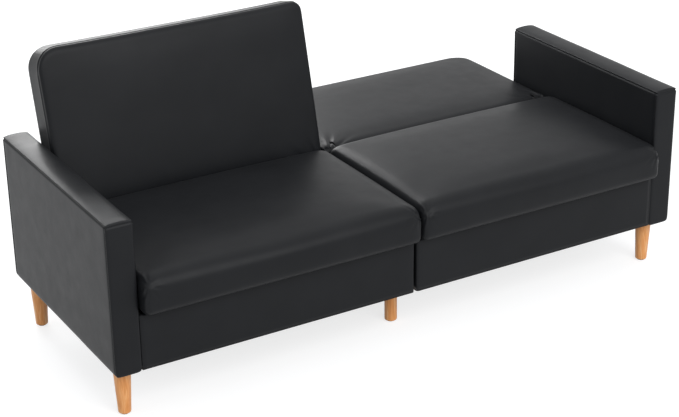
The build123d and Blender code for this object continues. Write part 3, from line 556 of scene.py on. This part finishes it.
def buildBack(look):
    low, high = (np.array(c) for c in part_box("right_back_cover"))
    topZ = high[2] - look["topRoom"]
    length, depth, rise = high[0] - low[0], high[1] - low[1], topZ - low[2]
    topShares = spread(depth, look["step"])
    sideLength = rise - (1 - math.pi / 4) * 2 * look["edge"]
    sideShares = spread(sideLength, look["step"], (look["seamDrop"], sideLength - look["rearSeam"]))
    radii = [look[k] for k in ("heel", "edge", "edge", "rearHeel")]
    ends = endRows(look["end"], (90, 62, 38, 14))
    corners = [0.02, 0.028, 0.038, 0.05]   # close rows round the corner radii
    inner = list(np.linspace(0.062, length - 0.062, int((length - 0.124) / look["step"])))
    runs = ends + [(d, 0) for d in corners + inner] + [(length - d, 0) for d in reversed(corners)]
    runs += [(length - d, i) for d, i in reversed(ends)]
    rings = []
    for run, inset in runs:
        cutInner = cornerCut(run, look["innerCorner"])
        cutOuter = cornerCut(length - run, look["outerCorner"])
        cutLow = cornerCut(min(run, length - run), look["lowCorner"])
        draw = look["draw"] * float(dome(run / length, 4))
        far = high[1] - max(cutInner, cutOuter) - draw
        rings.append(sectionRing((low[1] + cutLow, low[2]), (far, topZ), radii, inset, topShares, sideShares))
    mesh = loftCushion("rightBackCushion", lambda s, u, v: (low[0] + s, u, v), [run for run, inset in runs], rings,
                       len(topShares) - 1, len(sideShares) - 1)
    points, normals = readPoints(mesh), readNormals(mesh)
    across, along, up = boxShares(points, low, (length, depth, rise))
    wall = ease((0.75 - np.abs(normals[:, 2])) / 0.3) * ease((along - 0.12) / 0.08)
    frontSeam = points[:, 2] - (topZ - look["seamDrop"])
    rearSeam = points[:, 2] - (low[2] + look["rearSeam"])
    dip = seamDip(frontSeam, look["seamDepth"]) + seamDip(rearSeam, look["seamDepth"] * 0.7)
    points += normals * (dip * wall)[:, None]
    points[:, 2] += look["crown"] * dome(along, 2.2) * dome(across, 2.6) * ease((up - 0.8) / 0.2)
    writePoints(mesh, points)
    inflate(mesh, (up < 0.9) | (along < 0.03), cushionSwell)
    return mesh


# The hinge seat arms pass through the heel, so each cover has two narrow slots there, as the CAD covers do.
slotLook = dict(clear=0.0014, ratchetRoom=0.0265, strapRoom=0.0175, past=0.03)


def cutHingeSlots(mesh, side, look):
    low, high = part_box("right_back_cover")
    front, top, room = low[1] - look["past"], high[2] + look["past"], look["ratchetRoom"]
    y, z = hingeSpot[1], hingeSpot[2]
    profile = [(front, z - room), (y, z - room), (y + room * 0.7, z - room * 0.7), (y + room, z),
               (y + look["strapRoom"], z + room * 0.8), (y + look["strapRoom"], top), (front, top)]
    count, points, faces = len(profile), [], []
    for hinge in ("outer", "inner"):
        armLow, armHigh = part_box(side + "_" + hinge + "_hinge_seat_arm")
        start = len(points)
        points += [(x, *spot) for x in (armLow[0] - look["clear"], armHigh[0] + look["clear"]) for spot in profile]
        faces += [tuple(range(start, start + count)), tuple(range(start + count, start + 2 * count))]
        for i in range(count):
            after = start + (i + 1) % count
            faces.append((start + i, after, after + count, start + i + count))
    cutter = bpy.data.meshes.new("slotCutter")
    cutter.from_pydata(points, [], faces)
    tidyNormals(cutter)
    tool = bpy.data.objects.new("slotCutter", cutter)
    scene.collection.objects.link(tool)
    made = baked(mesh, "BOOLEAN", object=tool, operation="DIFFERENCE", solver="EXACT")
    bpy.data.objects.remove(tool)
    return made


def dressBack(mesh, side, spots):
    points, normals = readPoints(mesh), readNormals(mesh)
    for spot, first, second, seed in spots:
        gather(points, normals, spot, first, second, backGather, seed)
    writePoints(mesh, points)
    mesh = cutHingeSlots(mesh, side, slotLook)
    if side == "left":
        fold = Matrix.Rotation(math.radians(foldAngle), 4, "X")
        mesh.transform(Matrix.Translation(hingeSpot) @ fold @ Matrix.Translation(-hingeSpot))
        mesh.update()
    addPiece(side + "BackCushion", mesh, side + "_backrest", [side + "_back_cover", side + "_back_foam"], False)
    mesh.set_sharp_from_angle(angle=math.radians(70))


backMesh = baked(buildBack(backLook), "SUBSURF", levels=1)
leftBackMesh = mirrored(backMesh, "leftBackCushion")
backLow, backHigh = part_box("right_back_cover")
outerX, innerX = backHigh[0] - backGather["outer"], backLow[0] + backGather["inner"]
heelY, heelZ = backLow[1] + backGather["back"], backHigh[2] - backGather["below"]
upward = (0, 1, 0.4)
dressBack(backMesh, "right", [((outerX, heelY, heelZ), (-1, 0, 0), upward, 0.7),
                              ((innerX, heelY, heelZ), (1, 0, 0), upward, 1.9)])
dressBack(leftBackMesh, "left", [((-outerX, heelY, heelZ), (1, 0, 0), upward, 1.1),
                                 ((-innerX, heelY, heelZ), (-1, 0, 0), upward, 0.2)])
print("backrests made")


# Arms: a crowned top panel sewn a finger below its edge, and a seam down each front corner.
armLook = dict(step=0.012, edge=0.006, end=0.006, crown=0.003, topSeam=0.0065, cornerSeam=0.0085,
               seamDepth=0.0036, slack=0.0009)


def buildArm(look):
    low, high = (np.array(c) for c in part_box("right_arm_cover"))
    topZ = high[2] - look["crown"]
    width, depth, rise = high[0] - low[0], high[1] - low[1], topZ - low[2]
    topShares = spread(width, look["step"])
    sideLength = rise - (1 - math.pi / 4) * 2 * look["edge"]
    sideShares = spread(sideLength, look["step"], (look["topSeam"],))
    ends = endRows(look["end"], (90, 60, 30, 10))
    seamRows = [look["cornerSeam"] + d for d in (-0.002, 0, 0.002, 0.005)]
    inner = list(np.linspace(0.026, depth - 0.026, int(depth / look["step"])))
    runs = ends + [(d, 0) for d in seamRows + inner] + [(depth - d, 0) for d in reversed(seamRows)]
    runs += [(depth - d, i) for d, i in reversed(ends)]
    radii = [look["edge"]] * 4
    rings = [sectionRing((low[0], low[2]), (high[0], topZ), radii, inset, topShares, sideShares)
             for run, inset in runs]
    mesh = loftCushion("rightArmPad", lambda s, u, v: (u, low[1] + s, v), [run for run, inset in runs], rings,
                       len(topShares) - 1, len(sideShares) - 1)
    points, normals = readPoints(mesh), readNormals(mesh)
    across, up = (points[:, 0] - low[0]) / width, (points[:, 2] - low[2]) / rise
    wall = ease((0.8 - np.abs(normals[:, 2])) / 0.3)
    topSeam = points[:, 2] - (topZ - look["topSeam"])
    fromEnd = np.minimum(points[:, 1] - low[1], high[1] - points[:, 1])
    side = ease((np.abs(normals[:, 0]) - 0.5) / 0.3) * (topSeam < 0)
    dip = seamDip(topSeam, look["seamDepth"]) * wall
    dip += seamDip(fromEnd - look["cornerSeam"], look["seamDepth"] * 0.8) * side
    wave = np.array([noise.noise(Vector(p) * 9) for p in points]) * look["slack"]
    wave *= ease((fromEnd - 0.02) / 0.05)   # the skin is tight at both ends
    points += normals * (dip + wave)[:, None]
    points[:, 2] += look["crown"] * dome(across, 2.0) * ease((up - 0.985) / 0.015)
    points = np.clip(points, low, high)
    writePoints(mesh, points)
    return mesh


armMesh = buildArm(armLook)
leftArmMesh = mirrored(armMesh, "leftArmPad")
addPiece("rightArmPad", armMesh, "sofa_base", ["right_arm_cover"])
addPiece("leftArmPad", leftArmMesh, "sofa_base", ["left_arm_cover"])
print("arms made")


# Base boxes: leather pulled round the boards and folded over the top of the front one.
baseLook = dict(step=0.014, corner=0.008, sideDrop=0.015, lip=0.02, slack=0.0008, thick=0.0026, closeUp=0.0025)


def buildBase(look):
    low, high = (np.array(c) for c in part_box("right_base_cover"))
    low[0] -= look["closeUp"]   # the padded skins nearly meet
    radius = look["corner"]
    # each point of the path: its place, which way is out, and how far the skin drops below the top
    path = [(x, low[1], 0, -1, 0.0) for x in np.arange(high[0], low[0] + radius, -look["step"])]
    for turn in np.radians(np.arange(0, 91, 15)):
        sine, cosine = math.sin(turn), math.cos(turn)
        path.append((low[0] + radius * (1 - sine), low[1] + radius * (1 - cosine), -sine, -cosine, 0.0))
    for y in np.arange(low[1] + 2 * radius, high[1] - radius, look["step"]):
        path.append((low[0], y, -1, 0, float(ease((y - low[1] - 0.03) / 0.05))))
    for turn in np.radians(np.arange(0, 91, 15)):
        sine, cosine = math.sin(turn), math.cos(turn)
        path.append((low[0] + radius * (1 - cosine), high[1] - radius * (1 - sine), -cosine, sine, 1.0))
    path += [(x, high[1], 0, 1, 1.0) for x in np.arange(low[0] + 2 * radius, high[0], look["step"])]
    rise = high[2] - low[2]
    rows = [(0, z) for z in np.linspace(0, rise - 0.006, 12)]
    rows += [(0.0007, rise - 0.003), (0.003, rise - 0.0008), (0.007, rise), (look["lip"], rise)]   # over the top
    points, faces = [], []
    for inward, z in rows:
        for x, y, nx, ny, drop in path:
            lift = low[2] + z * (1 - drop * look["sideDrop"] / rise)
            wave = noise.noise(Vector((x, y, z)) * 11) * look["slack"] * math.sin(math.pi * min(z / rise, 1))
            points.append((x - nx * (inward - wave), y - ny * (inward - wave), lift))
    count = len(path)
    for k in range(len(rows) - 1):
        for i in range(count - 1):
            faces.append((k * count + i, k * count + i + 1, (k + 1) * count + i + 1, (k + 1) * count + i))
    mesh = bpy.data.meshes.new("rightBaseSkin")
    mesh.from_pydata(points, [], faces)
    mesh.update()
    normals = readNormals(mesh)
    if normals[:, 1][frontPoints(points, low)].mean() > 0:
        mesh.flip_normals()
    return mesh


def frontPoints(points, low):
    return [i for i, p in enumerate(points) if abs(p[1] - low[1]) < 0.001]


def addBase(mesh, side):
    piece = addPiece(side + "BaseSkin", mesh, "sofa_base", [side + "_base_cover"], False)
    thick = piece.modifiers.new("thickness", "SOLIDIFY")
    thick.thickness = baseLook["thick"]
    thick.offset = -1


baseMesh = buildBase(baseLook)
leftBaseMesh = baseMesh.copy()
leftPoints = readPoints(leftBaseMesh)
leftPoints[:, 0] *= -1
writePoints(leftBaseMesh, leftPoints)
leftBaseMesh.flip_normals()
addBase(baseMesh, "right")
addBase(leftBaseMesh, "left")
print("base boxes made")


# Dust cloths: spun cloth stapled under each base box, a little slack.
dustLook = dict(step=0.03, sag=0.005, ripple=0.0012, inside=0.0235, plateLift=0.0009, plateReach=0.014,
                flatEdge=0.02, below=0.0004)


def addDustCloth(side, way):
    low, high = (Vector(c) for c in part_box("dust_covers"))
    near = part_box("right_base_cover")[0][0] + dustLook["inside"]   # just inside the middle board
    width, depth = high[0] - near, high[1] - low[1]
    across, along = int(width / dustLook["step"] * 2), int(depth / dustLook["step"])
    points, faces = [], []
    for j in range(along + 1):
        for i in range(across + 1):
            a, b = i / across, j / along
            loose = math.sin(math.pi * a) * math.sin(math.pi * b)
            sag = dustLook["sag"] * loose ** 0.7
            sag += dustLook["ripple"] * noise.noise(Vector((a * 7, b * 6, way))) * loose
            sag *= a * width > dustLook["flatEdge"]
            lift = dustLook["plateLift"] * (a * width < dustLook["plateReach"])   # over the middle leg plates
            points.append((way * (near + a * width), low[1] + b * depth, high[2] - dustLook["below"] - sag + lift))
    for j in range(along):
        for i in range(across):
            k = j * (across + 1) + i
            faces.append((k, k + 1, k + across + 2, k + across + 1))
    mesh = bpy.data.meshes.new(side + "DustCloth")
    mesh.from_pydata(points, [], faces)
    mesh.materials.append(dustCloth)
    mesh.polygons.foreach_set("use_smooth", [True] * len(mesh.polygons))
    cloth = bpy.data.objects.new(side + "DustCloth", mesh)
    scene.collection.objects.link(cloth)
    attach(cloth, "sofa_base")
    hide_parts("dust_covers")


addDustCloth("left", -1)
addDustCloth("right", 1)
print("dust cloths made")

cameraSettings = dict(place=(-2.3984, -4.1713, 2.3854), lens=91.94, azimuth=-30.26, elevation=24.19, roll=-0.86)


def makeCamera(look):
    data = bpy.data.cameras.new("camera")
    data.lens = look["lens"]
    data.sensor_width = 36
    data.sensor_fit = "HORIZONTAL"
    turn, lift, tilt = (math.radians(look[k]) for k in ("azimuth", "elevation", "roll"))
    back = Vector((math.sin(turn) * math.cos(lift), -math.cos(turn) * math.cos(lift), math.sin(lift)))
    right = Vector((math.cos(turn), math.sin(turn), 0))
    up = back.cross(right)
    across = right * math.cos(tilt) + up * math.sin(tilt)
    upright = up * math.cos(tilt) - right * math.sin(tilt)
    camera = bpy.data.objects.new("camera", data)
    scene.collection.objects.link(camera)
    camera.matrix_world = Matrix.Translation(look["place"]) @ Matrix((across, upright, back)).transposed().to_4x4()
    scene.camera = camera


lamps = [
    dict(name="overheadBox", place=(0.1, 0.3, 3.6), aim=(0, 0, 0.3), size=(3.6, 2.8), power=24),
    dict(name="backPanel", place=(0.2, 4.4, 2.3), aim=(-0.5, 0, 0.7), size=(2.8, 2.2), power=150),
    dict(name="frontBox", place=(0.2, -4.6, 3.6), aim=(0, 0, 0.2), size=(4.4, 3.0), power=160),
]


def makeLamps():
    for lamp in lamps:
        data = bpy.data.lights.new(lamp["name"], "AREA")
        data.shape = "RECTANGLE"
        data.size, data.size_y = lamp["size"]
        data.energy = lamp["power"]
        made = bpy.data.objects.new(lamp["name"], data)
        scene.collection.objects.link(made)
        made.location = lamp["place"]
        made.rotation_mode = "QUATERNION"
        made.rotation_quaternion = (Vector(lamp["aim"]) - Vector(lamp["place"])).to_track_quat("-Z", "Y")
        made.visible_camera = False


# The background is white where it is seen, by itself or in a reflection, and lights the sofa less.
def directlySeen(tree):
    rays = addNode(tree, "ShaderNodeLightPath").outputs
    either = addNode(tree, "ShaderNodeMath", {"operation": "MAXIMUM"}, i0=rays["Is Camera Ray"],
                     i1=rays["Is Glossy Ray"])
    return addNode(tree, "ShaderNodeMath", {"operation": "MAXIMUM"}, i0=either.outputs[0],
                   i1=rays["Is Transmission Ray"]).outputs[0]


def makeWorld():
    world = bpy.data.worlds.new("studio")
    scene.world = world
    world.use_nodes = True
    tree = world.node_tree
    tree.nodes.clear()
    soft = addNode(tree, "ShaderNodeBackground", None, Color=(0.93, 0.96, 1.0, 1), Strength=0.74)
    white = addNode(tree, "ShaderNodeBackground", None, Color=(1, 1, 1, 1), Strength=1.0)
    seen = addNode(tree, "ShaderNodeMixShader", None, i0=directlySeen(tree), i1=soft.outputs[0],
                   i2=white.outputs[0])
    output = addNode(tree, "ShaderNodeOutputWorld")
    tree.links.new(seen.outputs[0], output.inputs[0])


def makeFloor():
    mesh = bpy.data.meshes.new("floor")
    reach = 14
    corners = [(-reach, -reach, 0), (reach, -reach, 0), (reach, reach, 0), (-reach, reach, 0)]
    mesh.from_pydata(corners, [], [(0, 1, 2, 3)])
    floor = bpy.data.objects.new("floor", mesh)
    scene.collection.objects.link(floor)
    made = bpy.data.materials.new("whitePaper")
    made.use_nodes = True
    tree = made.node_tree
    tree.nodes.clear()
    paper = addNode(tree, "ShaderNodeBsdfDiffuse", None, Color=linear("#a8a8a8"))
    glow = addNode(tree, "ShaderNodeEmission", None, Color=(1, 1, 1, 1), Strength=0.74)
    lit = addNode(tree, "ShaderNodeAddShader", None, i0=paper.outputs[0], i1=glow.outputs[0])
    plain = addNode(tree, "ShaderNodeBsdfDiffuse", None, Color=linear("#a2a2a2"))
    seen = addNode(tree, "ShaderNodeMixShader", None, i0=directlySeen(tree), i1=plain.outputs[0],
                   i2=lit.outputs[0])
    output = addNode(tree, "ShaderNodeOutputMaterial")
    tree.links.new(seen.outputs[0], output.inputs[0])
    mesh.materials.append(made)


makeCamera(cameraSettings)
makeLamps()
makeWorld()
makeFloor()
print("camera, lamps and floor set")
